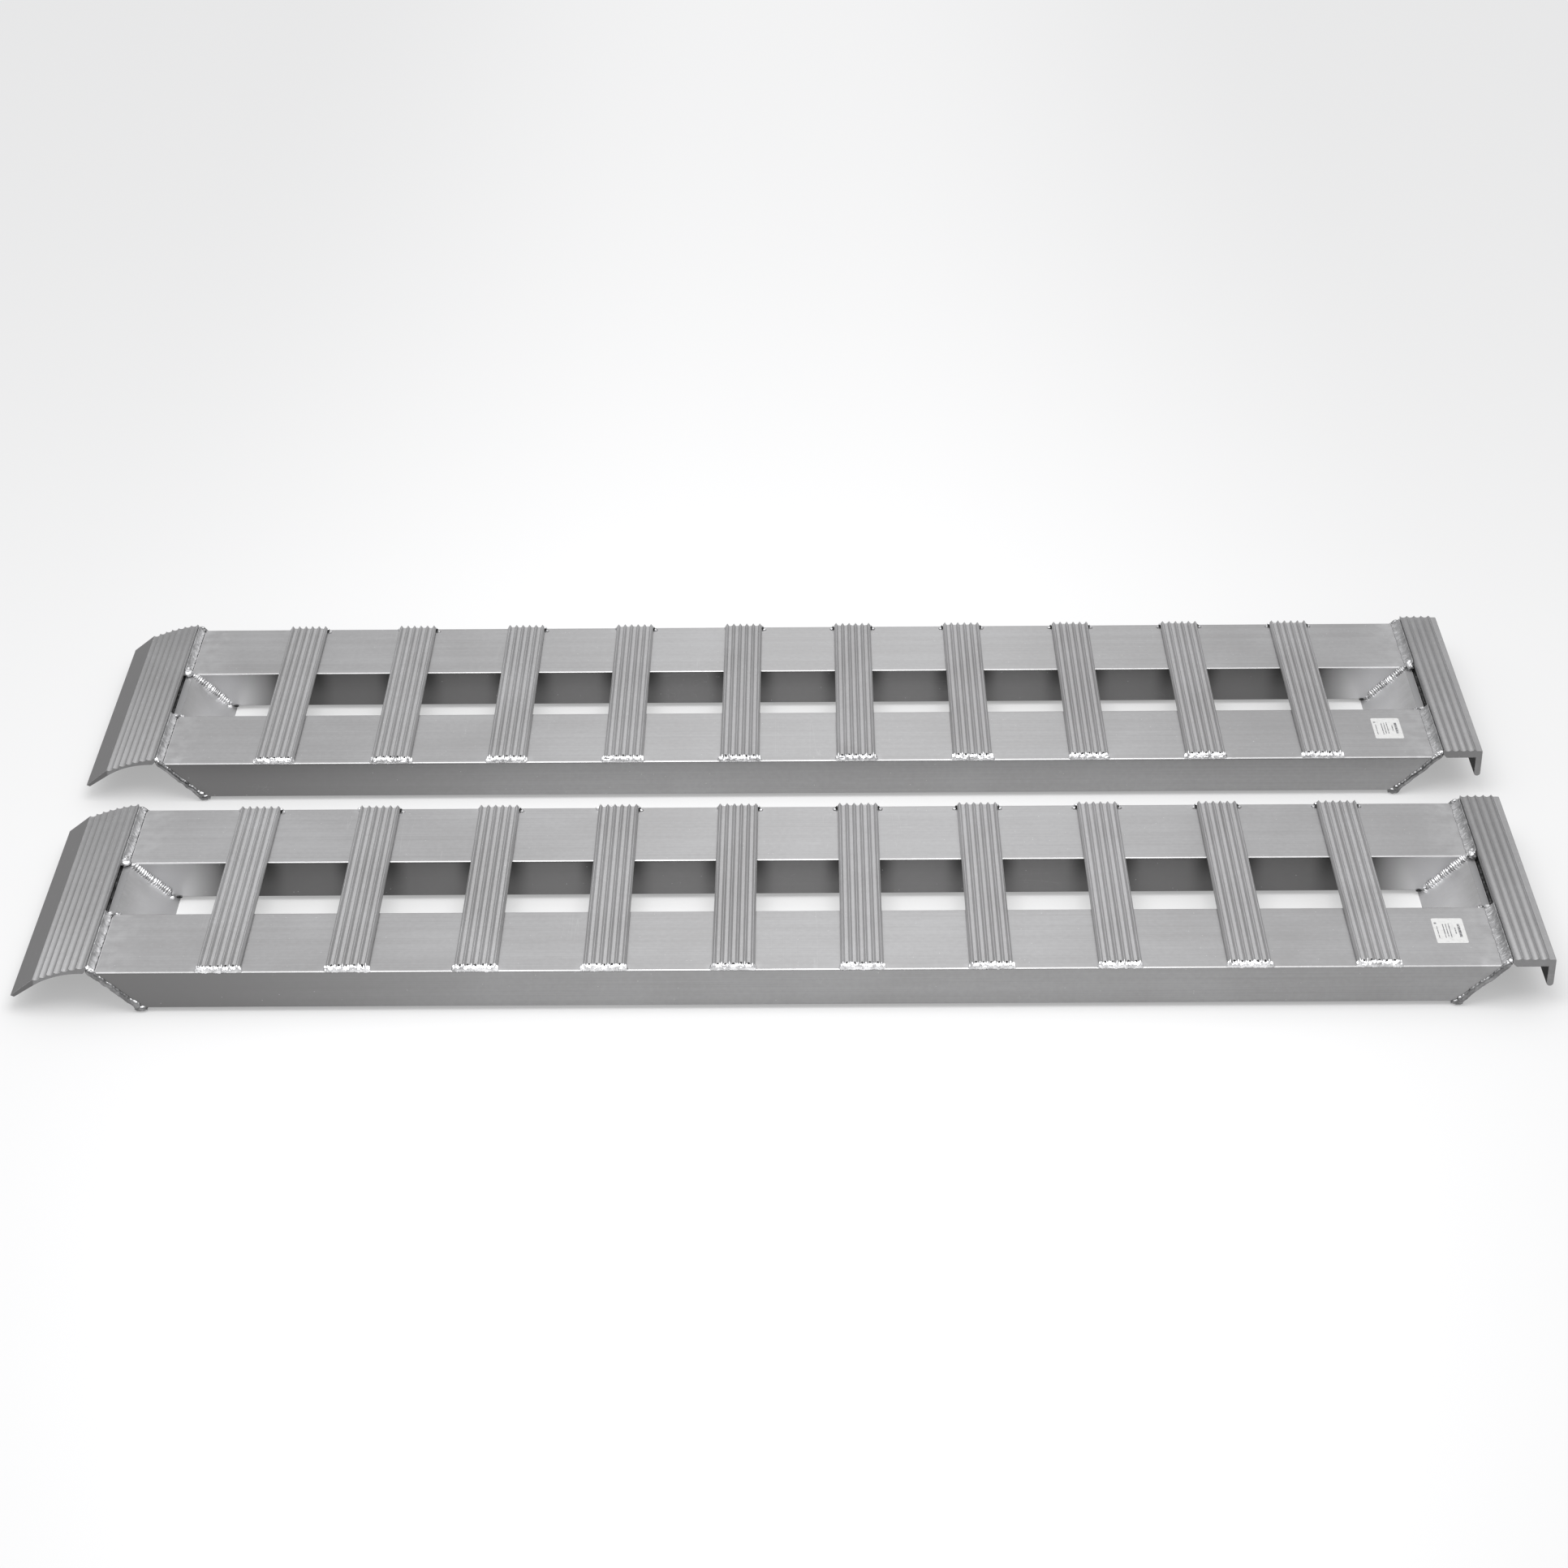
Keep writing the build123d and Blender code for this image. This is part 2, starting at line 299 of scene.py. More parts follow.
def rail_painted_shade(s, colour, value):
    """Painted shade on the faces towards the gap, and on the outer faces towards the ground end.

    In the gap it is darker at each tread, a painted shadow of the treads, and paler towards the rail's ends."""
    middle_part = 100 * MM  # to each side of a rail's middle, the least dark part of the gap's painted shade
    end_part = 130 * MM  # at each end of a rail, where the gap's painted shade thins out
    unshaded_end = 60 * MM
    paler_end = 30 * MM
    front_shade_start = 200 * MM  # from a rail's middle towards the ground end
    x, y, z = s.axes()
    across = off_centre(s, y)
    gap_face = half_ramp - rail_width
    facing = s.between(across, gap_face + 0.7 * MM, gap_face + 0.1 * MM)
    off = s.apart(x, middle_x)
    dim = s.between(off, middle_part, half_length - end_part, 0.72, 0.95)
    # Painted shade on the faces towards the gap, least in the rail's middle.
    colour = s.mix(s.times(facing, dim), colour, grey(value * 0.47, 0.01))
    # Painted shadow of the treads on the gap faces, stronger higher up and away from the ends.
    under_tread = s.between(off_tread(s, x), 0.33, 0.16)
    high = s.between(z, first.bottom + 8 * MM, first.top, 0.35, 0.9)
    away = s.between(off, half_length - unshaded_end, half_length - end_part)
    shaded = s.times(facing, under_tread, high, away)
    colour = s.mix(shaded, colour, grey(value * 0.16, 0.01))
    # The gap faces turn paler towards the rail's ends.
    paler_ends = s.between(off, half_length - end_part, half_length - paler_end)
    colour = s.mix(s.times(facing, paler_ends), colour, grey(value * 2.0))
    # Painted shade: the outer faces darker towards the ground end.
    outer = s.between(across, half_ramp - 0.7 * MM, half_ramp - 0.1 * MM)
    front_shade = s.times(outer, s.between(x, middle_x - front_shade_start, ground_x))
    return s.mix(front_shade, colour, grey(value * 0.59, 0.01))


def lip_painted_shade(s, colour, value):
    """Painted dark reflection on the foot's plain nose, and near-black painted shade on the inner face of the
    hook's flange.
    """
    soot_and_shade = 0.012
    x, _, z = s.axes()
    nose = s.between(x, nose_start_x + 1.0 * MM, nose_start_x - 1.0 * MM)
    # Painted dark reflection on the nose.
    colour = s.mix(s.times(nose, 0.9), colour, grey(value * 0.60, 0.01))
    deck_side = s.between(x, deck_x, deck_x + 1.0 * MM)
    inside = s.between(x, flange_x + 0.6 * MM, flange_x + 0.2 * MM)
    under = s.between(z, first.top - 0.6 * MM, first.top - 1.2 * MM)
    # Near-black painted shade on the inner face of the hook's flange.
    return s.mix(s.times(deck_side, inside, under), colour, grey(soot_and_shade))


def tread_painted_shadow(s, colour, value):
    """Painted contact shadow: a dark line where a tread's sides meet the rails."""
    _, _, z = s.axes()
    low = s.between(z, first.top + 0.9 * MM, first.top + 0.4 * MM)
    # Painted contact shadow along the foot of the tread's sides.
    return s.mix(low, colour, grey(value * 0.12))


def plate_shine(s, colour, value):
    """Paler metal towards the plate's lower edge, and a duller sawn upper edge."""
    _, _, z = s.axes()
    lower = s.between(z, first.top, first.bottom)
    colour = s.mix(lower, colour, grey(value * 2.0))
    upper_edge = s.between(z, plate_top - 0.5 * MM, plate_top - 0.1 * MM)
    return s.mix(upper_edge, colour, grey(value * 0.62))


# ---- metals ------------------------------------------------------------------------
# Extruded aluminium. Cells are to the metre, and the tones are weights in its base grey.
CLOUD_CELLS = 7.0
MOTTLE_CELLS = 160.0
BAND_SHARE = 0.12  # cells of the wide bands, as a share of the die lines' cells
SCRATCHES = [((60, 1.6, 60), 0.006), ((1.2, 50, 50), 0.005)]  # cells along each axis, width
SCRATCH_SHOWS = 0.14
CLOUD_TONE = 0.40
MOTTLE_TONE = 0.20
DIE_TONE = 0.30
BAND_TONE = 0.05
BRIGHT_DOT = 0.90
WORN_EDGE = 0.86


def aluminium_tone(s, value, die, clouds, mottle, line_cells):
    """Base grey that drifts with clouds, mottle, die lines and wide bands along the extrusion."""
    wide_cells = [BAND_SHARE * cells for cells in line_cells]
    bands = s.between(s.lines(wide_cells, detail=2.0), 0.35, 0.65)
    tone = s.blend(clouds, CLOUD_TONE, s.times(mottle, MOTTLE_TONE))
    tone = s.blend(bands, BAND_TONE, s.blend(die, DIE_TONE, tone))
    return s.mix(s.between(tone, 0.3, 0.7), grey(value * 0.88, 0.008), grey(value * 1.10))


def aluminium(name, value, line_cells, scratch_turn, roughness, wear_radius, painted_shade_and_tone, haze=False):
    """Extruded aluminium: die lines, cloudy oxide, scratches, specks and bright worn edges."""
    s = Surface(name)
    die = s.lines(line_cells, detail=4.0)
    clouds = s.grain(CLOUD_CELLS, detail=5.0, distortion=0.4)
    mottle = s.grain(MOTTLE_CELLS)
    marks = s.maths("ADD", *[scratches(s, cells, scratch_turn, width) for cells, width in SCRATCHES])
    dots = specks(s, cells=190.0, radius=0.10, share=0.12)
    pits = specks(s, cells=240.0, radius=0.09, share=0.10)
    worn = s.edges(wear_radius, 0.02, 0.35)
    colour = aluminium_tone(s, value, die, clouds, mottle, line_cells)
    if haze:
        colour = s.mix(s.times(weld_haze(s), 0.55), colour, grey(value * 1.45))
    # Painted shade on the rails, treads and lips; on the plates, paler metal low down and a duller upper
    # edge.
    colour = painted_shade_and_tone(s, colour, value)
    scratched = s.maths("MULTIPLY", marks, SCRATCH_SHOWS, clamp=True)
    colour = s.mix(scratched, colour, grey(value * 1.5))
    colour = s.mix(s.times(dots, 0.5), colour, grey(BRIGHT_DOT))
    colour = s.mix(s.times(pits, 0.5), colour, grey(value * 0.45))
    colour = s.mix(s.times(worn, 0.6), colour, grey(WORN_EDGE))
    rough = s.blend(clouds, 0.16, roughness - 0.13)
    rough = s.blend(worn, -0.10, s.blend(die, 0.10, rough))
    normal = s.bump(mottle, 0.02 * MM, s.bump(die, 0.03 * MM))
    normal = s.bump(marks, 0.02 * MM, normal)
    return s.finish(Base_Color=colour, Roughness=rough, Normal=normal, Metallic=1.0)


def weld_metal(name, dim, bright, roughness, soot_and_shade, painted_glints=0.7, relief=0.14 * MM):
    """Weld metal: rippled and uneven, with soot in the hollows, painted glints and tiny pits."""
    s = Surface(name)
    ripple = s.grain(cells=420.0)
    hollows = s.between(s.grain(cells=110.0, detail=4.0), 0.56, 0.70)
    pits = specks(s, cells=230.0, radius=0.16, share=0.16)
    painted_glint_spots = s.between(s.grain(cells=340.0, detail=2.0), 0.60, 0.68)
    patches = s.between(s.grain(cells=90.0), 0.36, 0.64)
    colour = s.mix(patches, grey(dim), grey(bright))
    colour = s.mix(s.times(hollows, soot_and_shade), colour, grey(0.16, 0.01))
    # Painted glints: scattered near-white spots.
    colour = s.mix(s.times(painted_glint_spots, painted_glints), colour, grey(0.95))
    colour = s.mix(s.times(pits, 0.8), colour, grey(0.05))
    rough = s.blend(s.grain(cells=130.0), 0.30, roughness - 0.15)
    normal = s.bump(ripple, relief, s.bump(pits, -0.3 * MM))
    return s.finish(Base_Color=colour, Roughness=rough, Normal=normal, Metallic=1.0)


looks = {
    "rail": aluminium(
        "rail_aluminium_looks",
        value=0.32,
        line_cells=(2.5, 700, 700),
        scratch_turn=(0, 0, 0.5),
        roughness=0.36,
        wear_radius=1.2 * MM,
        painted_shade_and_tone=rail_painted_shade,
        haze=True,
    ),
    "tread": aluminium(
        "tread_aluminium_looks",
        value=0.35,
        line_cells=(900, 5, 900),
        scratch_turn=(0, 0, 1.1),
        roughness=0.66,
        wear_radius=0.6 * MM,
        painted_shade_and_tone=tread_painted_shadow,
    ),
    "lip": aluminium(
        "lip_aluminium_looks",
        value=0.28,
        line_cells=(900, 5, 900),
        scratch_turn=(0, 0, 0.9),
        roughness=0.58,
        wear_radius=0.8 * MM,
        painted_shade_and_tone=lip_painted_shade,
    ),
    "plate": aluminium(
        "plate_aluminium_looks",
        value=0.41,
        line_cells=(60, 500, 60),
        scratch_turn=(0, 0.4, 0.2),
        roughness=0.46,
        wear_radius=1.0 * MM,
        painted_shade_and_tone=plate_shine,
    ),
}
weld_looks = [
    weld_metal("bright_weld_looks", dim=0.60, bright=0.92, roughness=0.34, soot_and_shade=0.5),
    weld_metal("chunky_weld_looks", dim=0.30, bright=0.58, roughness=0.40, soot_and_shade=0.35),
    weld_metal(
        "rope_weld_looks", dim=0.17, bright=0.30, roughness=0.22, soot_and_shade=0.3, painted_glints=0.1, relief=0.04 * MM
    ),
    weld_metal("foot_fillet_looks", dim=0.32, bright=0.44, roughness=0.50, soot_and_shade=0.3, painted_glints=0.25),
    weld_metal("hook_fillet_looks", dim=0.25, bright=0.33, roughness=0.52, soot_and_shade=0.25, painted_glints=0.25),
    # Near-black look: painted shade in crevices, in the tread valleys and in the slot behind the lips.
    weld_metal("painted_shade_black_looks", dim=0.02, bright=0.05, roughness=0.60, soot_and_shade=0.45, painted_glints=0.1),
]
BRIGHT, CHUNKY, ROPE, FOOT_FILLET, HOOK_FILLET, SHADE_BLACK = range(len(weld_looks))


def node_look(name):
    """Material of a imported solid. The visible ones that no word fits are feet and hooks."""
    for word in ("rail", "tread", "plate"):
        if word in name:
            return looks[word]
    return looks["lip"]


def soften_edges(node):
    """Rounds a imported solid's sharp edges a little, as an extrusion's are."""
    join = node.modifiers.new("join", "WELD")
    join.merge_threshold = 0.002 * MM
    edge = node.modifiers.new("edge", "BEVEL")
    edge.width = 0.22 * MM
    edge.segments = 2
    edge.limit_method = "ANGLE"
    edge.angle_limit = math.radians(28)


# ---- mesh helpers ----------------------------------------------------------------
def millimetres(*place):
    """A point or an offset given in millimetres, in two or three directions."""
    return Vector(place) * MM


def wave(*place):
    """Smooth noise from about -1 to 1, at a place given in cells."""
    fill = [0.37, 0.71]
    return noise.noise(Vector((list(place) + fill)[:3]))


def skin(bm, rings, look=0, look_of=None):
    """Closed skin through rings of points, with a face over each end.

    look is a place in the piece's list of materials. look_of, if given, finds it for each
    row of faces, and its first row's look goes on both end faces too."""
    rows = [[bm.verts.new(p) for p in ring] for ring in rings]
    for number, (a, b) in enumerate(zip(rows, rows[1:])):
        for i in range(len(a)):
            j = (i + 1) % len(a)
            face = bm.faces.new((a[i], a[j], b[j], b[i]))
            face.material_index = look_of(number) if look_of else look
    for face in (bm.faces.new(rows[0][::-1]), bm.faces.new(rows[-1])):
        face.material_index = look_of(0) if look_of else look


def finish_piece(bm, name, materials, ramp, node):
    """Turns a bmesh into a piece that stands for a CAD node and rides on its ramp."""
    bmesh.ops.recalc_face_normals(bm, faces=bm.faces)
    for face in bm.faces:
        face.smooth = True
    mesh = bpy.data.meshes.new(name)
    bm.to_mesh(mesh)
    bm.free()
    for material in materials:
        mesh.materials.append(material)
    piece = bpy.data.objects.new(name, mesh)
    bpy.context.scene.collection.objects.link(piece)
    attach(piece, ramp.body)
    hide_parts(node)


def finish_welds(bm, ramp, word):
    """Turns a bmesh into the beads that stand for one of a ramp's packed weld nodes."""
    name = f"{ramp.name}_{word}_weld_beads"
    finish_piece(bm, name, weld_looks, ramp, f"{ramp.name}_{word}_welds")


def quad_curve(a, b, c, t):
    """Point of the curve from a to c that leans towards b."""
    return a * (1 - t) ** 2 + b * 2 * t * (1 - t) + c * t**2


def swelling(distance, length):
    """0 at a bead's end, rising roundly to 1 within length."""
    t = min(1.0, max(0.0, distance / length))
    return math.sqrt(1 - (1 - t) ** 2)


def ramp_seed(ramp, extra):
    """Start of a noise seed, which is larger by extra for the first ramp."""
    return extra if ramp is first else 0


def blob(bm, centre, half_size, seed, rough, look, dish=0.0, dish_look=BRIGHT):
    """Rounded lump of weld metal, dished on top where it froze as a crater.

    half_size and dish are in millimetres, and rough is a share of the lump's size."""
    rows, around = 14, 22
    pole = 0.02  # share of the half turn that is cut off flat at each pole
    lump_cells = 2.1
    dish_radius = 0.55
    dish_rows = 5
    rings = []
    for i in range(rows + 1):
        polar = math.pi * (pole + (1 - 2 * pole) * i / rows)
        ring = []
        for k in range(around):
            angle = 2 * math.pi * k / around
            flat = math.sin(polar)
            d = Vector((flat * math.cos(angle), flat * math.sin(angle), math.cos(polar)))
            lump = 1 + 2 * rough * noise.noise(d * lump_cells + Vector((seed, 0, 0)))
            p = Vector([part * (half * MM) for part, half in zip(d, half_size)]) * lump
            if d.z > 0:
                p.z -= dish * MM * math.exp(-((flat / dish_radius) ** 2))
            ring.append(centre + p)
        rings.append(ring)
    skin(bm, rings, look_of=lambda row: dish_look if dish and row < dish_rows else look)


# ---- tread-end welds --------------------------------------------------------------
# A tread bead's section is drawn from the tread's end: its x runs outwards, its y upwards.
# Lengths along the bead are in millimetres, as the places given to wave() are.
TREAD_BEAD_STEPS = 110
TOE_POINTS = 12  # of the section, from the bead's toe to its crest
LEAST_CREST = {NEAR: 5.6 * MM, FAR: 3.6 * MM}  # far beads stay below the tread's valleys
BEAD_SPREAD = {NEAR: 1.0, FAR: 0.4}
BEAD_HUB = millimetres(2.4, -0.5)  # the point that a bead's ends shrink towards
BEAD_ROOT = millimetres(-0.4, -0.6)  # the point that its lumps grow away from
BEAD_UNDERSIDE = [millimetres(-0.6, -0.9), millimetres(3.4, -1.6)]


def rib_height(x_off):
    """Height of a tread's upper surface above its underside, x_off from its middle."""
    first_rib = -(TREAD_RIBS - 1) / 2 * TREAD_RIB_PITCH
    nearest = min(abs(x_off - first_rib - i * TREAD_RIB_PITCH) for i in range(TREAD_RIBS))
    slope = (nearest - TREAD_RIB_TIP / 2) / (TREAD_RIB_FOOT / 2 - TREAD_RIB_TIP / 2)
    return TREAD_BASE + (tread_height - TREAD_BASE) * min(1.0, max(0.0, 1 - slope))


def weld_crest(u, rib, side, seed):
    """Height of a tread bead's crest at u millimetres, where the tread is rib high."""
    tip_showing = 0.4 * MM
    swing = 1.5 * MM
    spread = BEAD_SPREAD[side]
    return max(LEAST_CREST[side], (rib - tip_showing) * spread) + wave(u / 2.8, seed) * swing * spread


def tread_weld_lump(point, k, u, seed):
    """Uneven growth of the section's point number k, away from the bead's root."""
    ripple_pitch = 2.7
    coarse = 1.2 * wave(u / 4.2, k / 3.5, seed)
    fine = 0.55 * wave(u / 1.7, k / 2.0, seed + 5)
    ripple = 0.25 * math.cos(2 * math.pi * (u / ripple_pitch + 0.35 * wave(u / 8.0, seed)) + k * 0.25)
    share = 1.0  # less at the toe and over the tread
    if k < 3:
        share = math.sin(math.pi * (k + 1.5) / 9)
    if k >= TOE_POINTS:
        share = 0.3
    return (point - BEAD_ROOT).normalized() * (coarse + fine + ripple) * share * MM


def tread_weld_section(u, rib, side, seed):
    """Section of a tread bead at u millimetres, from its toe over its crest to its underside."""
    crest = weld_crest(u, rib, side, seed)
    over_rib = 0.5 * max(0.0, rib / MM - 6.0)
    over_tread = (1.5 + 1.2 * abs(wave(u / 3.0, seed + 9)) + over_rib) * BEAD_SPREAD[side] * MM
    toe_angle = math.radians(62 + 24 * wave(u / 6.0, seed + 3))
    toe_x = TREAD_SETBACK - RAIL_RADIUS + RAIL_RADIUS * math.sin(toe_angle)
    toe = Vector((toe_x, RAIL_RADIUS * (math.cos(toe_angle) - 1)))
    lean = Vector((5.6 * MM, crest * 0.80))
    top_point = Vector((-0.2 * MM, crest))
    outline = [quad_curve(toe, lean, top_point, k / (TOE_POINTS - 1)) for k in range(TOE_POINTS)]
    outline.append(Vector((-over_tread * 0.6, crest - 0.25 * MM)))
    outline.append(Vector((-over_tread, min(rib, crest) - 0.25 * MM)))
    ring = [p + tread_weld_lump(p, k, u, seed) for k, p in enumerate(outline)]
    ring.append(Vector((-over_tread - 0.1 * MM, 1.0 * MM)))
    return ring + BEAD_UNDERSIDE


def tread_weld_rings(tread, side, top, seed):
    """Rings of one lumpy bead from a tread's end down to the rounded edge of its rail."""
    end_length = 4.5 * MM
    low, high = tread
    middle = (low.x + high.x) / 2
    end_y = high.y if side == FAR else low.y
    rng = random.Random(seed)
    start = low.x - rng.uniform(1.5, 4.5) * MM
    stop = high.x + rng.uniform(1.5, 4.5) * MM
    rings = []
    for i in range(TREAD_BEAD_STEPS + 1):
        x = start + (stop - start) * i / TREAD_BEAD_STEPS
        size = swelling(min(x - start, stop - x), end_length)
        section = tread_weld_section(x / MM, rib_height(x - middle), side, seed)
        drawn = [BEAD_HUB + (p - BEAD_HUB) * size for p in section]
        rings.append([Vector((x, end_y + side * p.x, top + p.y)) for p in drawn])
    return rings


def build_valley_shade_dots(bm, tread, top, seed):
    """Near-black dots along the near bead's crest, in line with the valleys between the ribs: painted shade
    for the crevices there.
    """
    low, high = tread
    valleys = TREAD_RIBS - 1
    for valley in range(valleys):
        x = (low.x + high.x) / 2 + (valley - (valleys - 1) / 2) * TREAD_RIB_PITCH
        crest = weld_crest(x / MM, TREAD_BASE, NEAR, seed)
        centre = Vector((x, low.y, top + crest)) + millimetres(0, 0.1, 0.1)
        blob(bm, centre, (1.3, 1.3, 1.0), seed + valley, rough=0.3, look=SHADE_BLACK)


def build_far_corner(bm, ramp, tread, edge, number):
    """Near-black lump, painted shade for the crevice, and a dull rim at a far corner of a tread, at its -X or
    +X edge.
    """
    low, high = tread
    x = high.x if edge > 0 else low.x
    corner = Vector((x, high.y, ramp.top)) + millimetres(edge * 1.2, -1.5, 1.2)
    # Painted shade: a near-black lump in the crevice.
    blob(bm, corner, (1.6, 2.8, 1.6), number + edge, rough=0.3, look=SHADE_BLACK)
    rim = corner + millimetres(edge * 2.4, -1.2, -1.0)
    blob(bm, rim, (2.6, 2.6, 1.4), number + edge + 5, rough=0.3, look=FOOT_FILLET)


def build_tread_welds(ramp):
    """Beads at both ends of each tread. Treads in the deck half show both far corners."""
    bm = bmesh.new()
    for number, tread in enumerate(ramp.treads):
        for side in (NEAR, FAR):
            seed = 17 * number + 5 * side + ramp_seed(ramp, 200)
            skin(bm, tread_weld_rings(tread, side, ramp.top, seed), BRIGHT)
            if side == NEAR:
                build_valley_shade_dots(bm, tread, ramp.top, seed)
        edges = (1,) if number < len(ramp.treads) / 2 else (1, -1)
        for edge in edges:
            build_far_corner(bm, ramp, tread, edge, number)
    finish_welds(bm, ramp, "tread")


# ---- beads along straight seams -----------------------------------------------------
# How a bead is laid: its radius and its drift to the sides in metres, the pitch of its
# ripples in millimetres, the rest as shares of its radius, and its place in weld_looks.
ROPE_BEAD = SimpleNamespace(
    radius=4.3 * MM, drift=1.4 * MM, pitch=5.2, ripple=0.02, lumpy=0.07, end_swell=0.4, proud=0.85, look=ROPE
)
GAP_BEAD = SimpleNamespace(
    radius=5.2 * MM, drift=0.3 * MM, pitch=3.2, ripple=0.17, lumpy=0.22, end_swell=0.0, proud=0.8, look=CHUNKY
)
# The root bead is near-black: painted shade in the slot behind the lip.
ROOT_BEAD = SimpleNamespace(
    radius=3.2 * MM, drift=0.5 * MM, pitch=3.2, ripple=0.03, lumpy=0.05, end_swell=0.2, proud=0.85, look=SHADE_BLACK
)
BEAD_STEP = 0.45 * MM
BEAD_AROUND = 20
SUNK = 0.62  # depth of a bead's hidden side, as a share of its radius


def bead_size(kind, run, total, seed):
    """Radius of a bead, run metres from its start: rippled, lumpy, and rounded at its ends."""
    u = run / MM
    dime = abs(math.sin(math.pi * (u / kind.pitch + 0.5 * wave(u / 7.0, seed))))
    lumps = kind.lumpy * wave(u / 4.0, seed + 2)
    size = kind.radius * (1 - kind.ripple + kind.ripple * 1.6 * dime + lumps)
    size *= max(0.05, swelling(min(run, total - run), kind.radius * 1.3))
    to_stop = (total - run) / (kind.radius * 1.6)
    return size * (1 + kind.end_swell * math.exp(-(to_stop**2)))


def bead(bm, start, stop, across, out, kind, seed):
    """Rippled bead from start to stop, whose section is spanned by across and out."""
    total = (stop - start).length
    steps = int(total / BEAD_STEP)
    rings = []
    for i in range(steps + 1):
        run = total * i / steps
        u = run / MM
        size = bead_size(kind, run, total, seed)
        centre = start.lerp(stop, i / steps) + across * wave(u / 9.0, seed + 4) * kind.drift
        ring = []
        for k in range(BEAD_AROUND):
            angle = 2 * math.pi * k / BEAD_AROUND
            chevron = math.sin(2 * math.pi * (u / kind.pitch + abs(math.cos(angle))))
            lumps = wave(u / 2.2, k / 2.5, seed)
            local = size * (1 + 0.5 * kind.ripple * chevron + 0.6 * kind.lumpy * lumps)
            rise = math.sin(angle) * (kind.proud if k < BEAD_AROUND / 2 else SUNK)
            ring.append(centre + across * math.cos(angle) * local + out * rise * local)
        rings.append(ring)
    skin(bm, rings, kind.look)


def seam_point(ramp, end, z, y, outwards=0.0):
    """Point on a mitred seam at height z, moved outwards across the end plate."""
    x = ramp.ends[end] + end * (z - ramp.top + outwards / math.sin(MITRE))
    return Vector((x, y, z))


def across_plate(end):
    """Direction at right angles to an end plate, outwards and down."""
    return Vector((end * math.sin(MITRE), 0, -math.cos(MITRE)))


def build_outer_seam(bm, ramp, end, side, outer_y, seed):
    """Rope-like bead down the outer face, from the lip's corner to a ball below the rail."""
    y = outer_y - side * 1.0 * MM
    upper = seam_point(ramp, end, ramp.top + 4.5 * MM, y, PLATE_THICKNESS * 0.50)
    lower = seam_point(ramp, end, ramp.bottom + 0.8 * MM, y, PLATE_THICKNESS * 0.12)
    bead(bm, upper, lower, across_plate(end), Vector((0, side, 0)), ROPE_BEAD, seed)
    tip = seam_point(ramp, end, ramp.bottom - 0.4 * MM, y, PLATE_THICKNESS * 0.20)
    blob(bm, tip, (7.6, 3.7, 4.2), seed + 11, rough=0.10, look=ROPE)
    corner = Vector((ramp.ends[end], outer_y, ramp.top))
    lumps = 3 if side == NEAR else 1
    # On the far side the lumps take the duller hook fillet look: painted shade.
    look = BRIGHT if side == NEAR else HOOK_FILLET
    for step in range(lumps):
        reach = 3.2 + 2.6 * step
        inset = 2.2 + 0.4 * step
        lift = 0.6 + 2.2 * step
        centre = corner + millimetres(end * reach, -side * inset, lift)
        blob(bm, centre, (3.4, 2.6, 2.6), seed + step, rough=0.25, look=look)


def build_gap_seam(bm, ramp, end, side, gap_y, seed):
    """Chunky bead down the inner corner, with lumps at its foot."""
    gapwards = Vector((0, -side, 0))
    across = (across_plate(end) + gapwards).normalized()
    facing = (gapwards - across_plate(end)).normalized()
    lift = facing * 1.5 * MM
    upper = seam_point(ramp, end, ramp.top - 0.5 * MM, gap_y) + lift
    lower = seam_point(ramp, end, ramp.bottom + 4.5 * MM, gap_y) + lift
    bead(bm, upper, lower, across, facing, GAP_BEAD, seed + 3)
    crater = seam_point(ramp, end, ramp.bottom + 2.6 * MM, gap_y - side * 3.6 * MM, 0.8 * MM)
    blob(bm, crater, (4.4, 4.0, 3.4), seed, rough=0.14, look=BRIGHT, dish=1.8, dish_look=CHUNKY)
    # Near-black lump low in the corner: painted shade for the crevice there.
    crevice = seam_point(ramp, end, ramp.bottom + 0.6 * MM, gap_y - side * 1.0 * MM, -4.5 * MM)
    blob(bm, crevice, (3.6, 1.2, 1.2), seed + 1, rough=0.2, look=SHADE_BLACK)


def build_gap_corner(bm, ramp, end, side, gap_y, seed):
    """Lumps on the rail's top above the gap's bead: on the far rail at the foot, a crater."""
    corner = Vector((ramp.ends[end], gap_y, ramp.top))
    if side == NEAR:
        centre = corner + millimetres(end * 4.0, -1.8, 1.2)
        blob(bm, centre, (4.6, 3.6, 2.4), seed + 8, rough=0.2, look=FOOT_FILLET)
        return
    centre = corner + millimetres(end * 5.2, 0.2, 1.6)
    if end == GROUND:
        blob(bm, centre, (7.0, 6.8, 5.2), seed + 8, rough=0.10, look=BRIGHT, dish=2.2, dish_look=CHUNKY)
    else:
        blob(bm, centre, (5.0, 6.4, 4.6), seed + 8, rough=0.24, look=CHUNKY)
    behind = corner + millimetres(end * 6.0, 8.7, 3.0)
    blob(bm, behind, (3.4, 3.2, 3.0), seed + 9, rough=0.2, look=FOOT_FILLET)


def build_seam_welds(ramp):
    """Beads that join the end plates to the mitred rail ends, outside and in the gap."""
    bm = bmesh.new()
    for end in (GROUND, DECK):
        for number, side in enumerate((NEAR, FAR)):
            low, high = ramp.rails[side]
            outer_y, gap_y = (low.y, high.y) if side == NEAR else (high.y, low.y)
            seed = 31 * number + 7 * end + ramp_seed(ramp, 90)
            build_outer_seam(bm, ramp, end, side, outer_y, seed)
            build_gap_seam(bm, ramp, end, side, gap_y, seed)
            build_gap_corner(bm, ramp, end, side, gap_y, seed)
    finish_welds(bm, ramp, "seam")


